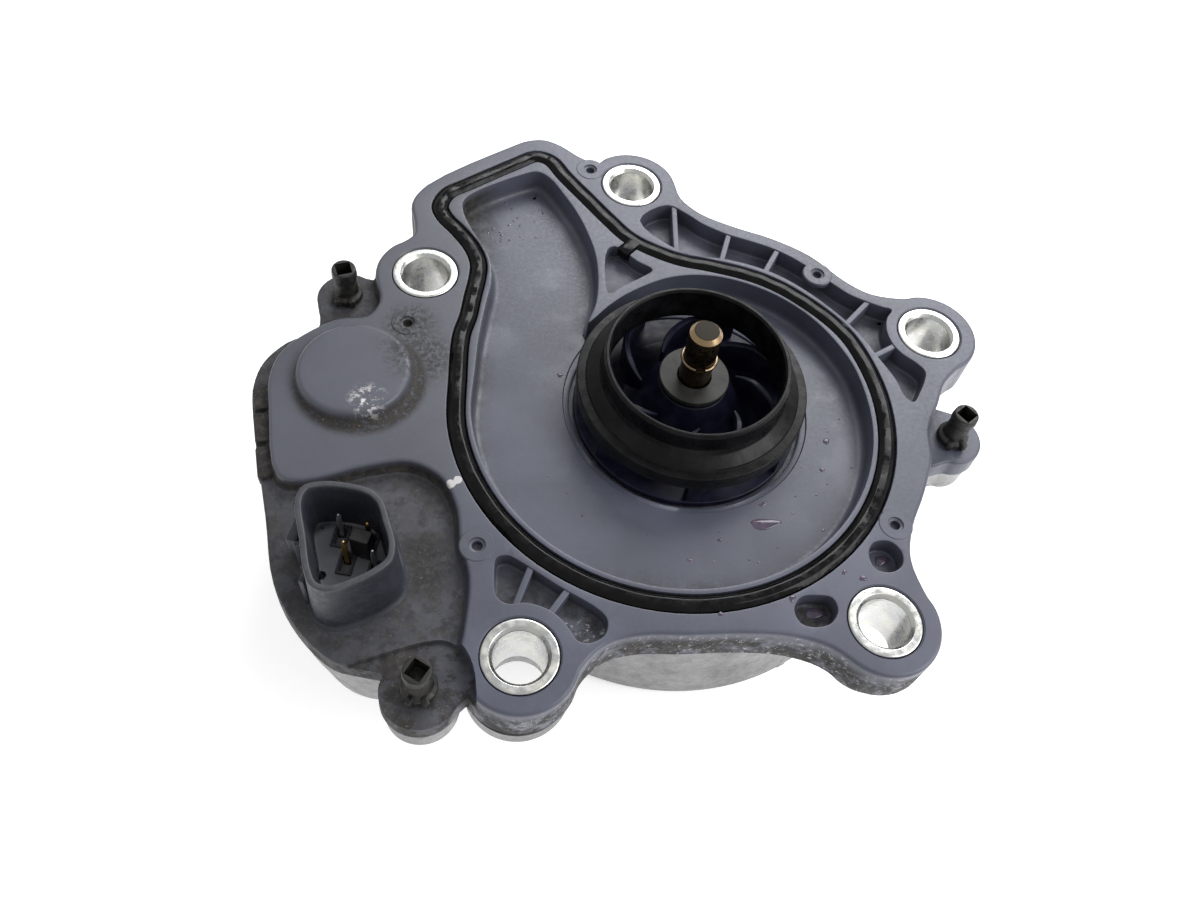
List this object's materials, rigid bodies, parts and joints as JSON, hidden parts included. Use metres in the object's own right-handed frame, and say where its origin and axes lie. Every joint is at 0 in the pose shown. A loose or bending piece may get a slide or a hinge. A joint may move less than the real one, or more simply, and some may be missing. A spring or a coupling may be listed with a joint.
{
  "type": "coolant pump",
  "caption": "Electric engine coolant pump: flanged housing with open volute and outlet, shrouded impeller on a fixed shaft, moulded gasket, connector and cast motor can.",
  "frame": {"origin": "centre of the motor can's flat end, on the shaft's axis", "axes": "+Z along the shaft, out of the mounting face; +X towards the third bolt's side, away from the electronics bay; +Y towards the volute's outlet"},
  "size_m": [0.1424, 0.134, 0.058],
  "materials": {
    "housing_plastic": "bluish grey glass-filled moulding, semi-matt, dirty at the edges",
    "cast_aluminium": "bare die casting, rough and slightly oxidised",
    "zinc_steel": "zinc plated, slightly yellow, satin",
    "black_rubber": "moulded rubber, wet and glossy",
    "shroud_plastic": "black filled plastic, matt, rubbed grey on its rim",
    "hub_plastic": "dark navy, glossy",
    "ground_steel": "ground steel, tinted bronze near its end",
    "washer_ceramic": "grey lapped washer, smooth",
    "carbon": "carbon bearing, dull black",
    "ferrite": "sintered ferrite, dark grey",
    "lamination_steel": "stacked electrical steel",
    "copper": "enamelled copper wire",
    "circuit_green": "green solder mask",
    "part_black": "black moulded packages",
    "capacitor_sleeve": "dark sleeve over an aluminium can",
    "gold_plate": "gold plated contact",
    "tin_plate": "tin plated contact",
    "grease_black": "black coated, matt and dirty"
  },
  "bodies": {
    "pump_body": {"front_housing": "housing_plastic", "rotor_can": "housing_plastic", "rear_cover": "cast_aluminium", "bolt_sleeve_1": "zinc_steel", "bolt_sleeve_2": "zinc_steel", "bolt_sleeve_3": "zinc_steel", "bolt_sleeve_4": "zinc_steel", "bolt_sleeve_5": "zinc_steel", "board_screw_1": "zinc_steel", "board_screw_2": "zinc_steel", "board_screw_3": "zinc_steel", "volute_gasket": "black_rubber", "can_o_ring": "black_rubber", "shaft": "ground_steel", "snap_ring": "ground_steel", "front_thrust_washer": "washer_ceramic", "rear_thrust_washer": "washer_ceramic", "filter_choke": "ferrite", "stator_core": "lamination_steel", "coil_1": "copper", "coil_2": "copper", "coil_3": "copper", "coil_4": "copper", "coil_5": "copper", "coil_6": "copper", "circuit_board": "circuit_green", "driver_chip": "part_black", "power_transistor_1": "part_black", "power_transistor_2": "part_black", "power_transistor_3": "part_black", "filter_capacitor": "capacitor_sleeve", "terminal_pin_2": "gold_plate", "terminal_pin_3": "gold_plate", "terminal_pin_1": "tin_plate", "terminal_pin_4": "tin_plate", "cover_screw_1": "grease_black", "cover_screw_2": "grease_black", "cover_screw_3": "grease_black"},
    "rotor": {"impeller_hub": "hub_plastic", "impeller_shroud": "shroud_plastic", "rotor_magnet": "ferrite", "rotor_core": "lamination_steel", "bearing_bush": "carbon"}
  },
  "joints": [
    {"name": "rotor_spin", "type": "hinge", "parent": "pump_body", "child": "rotor", "pos_m": [0, 0, 0.04], "axis": [0, 0, 1], "continuous": true}
  ]
}
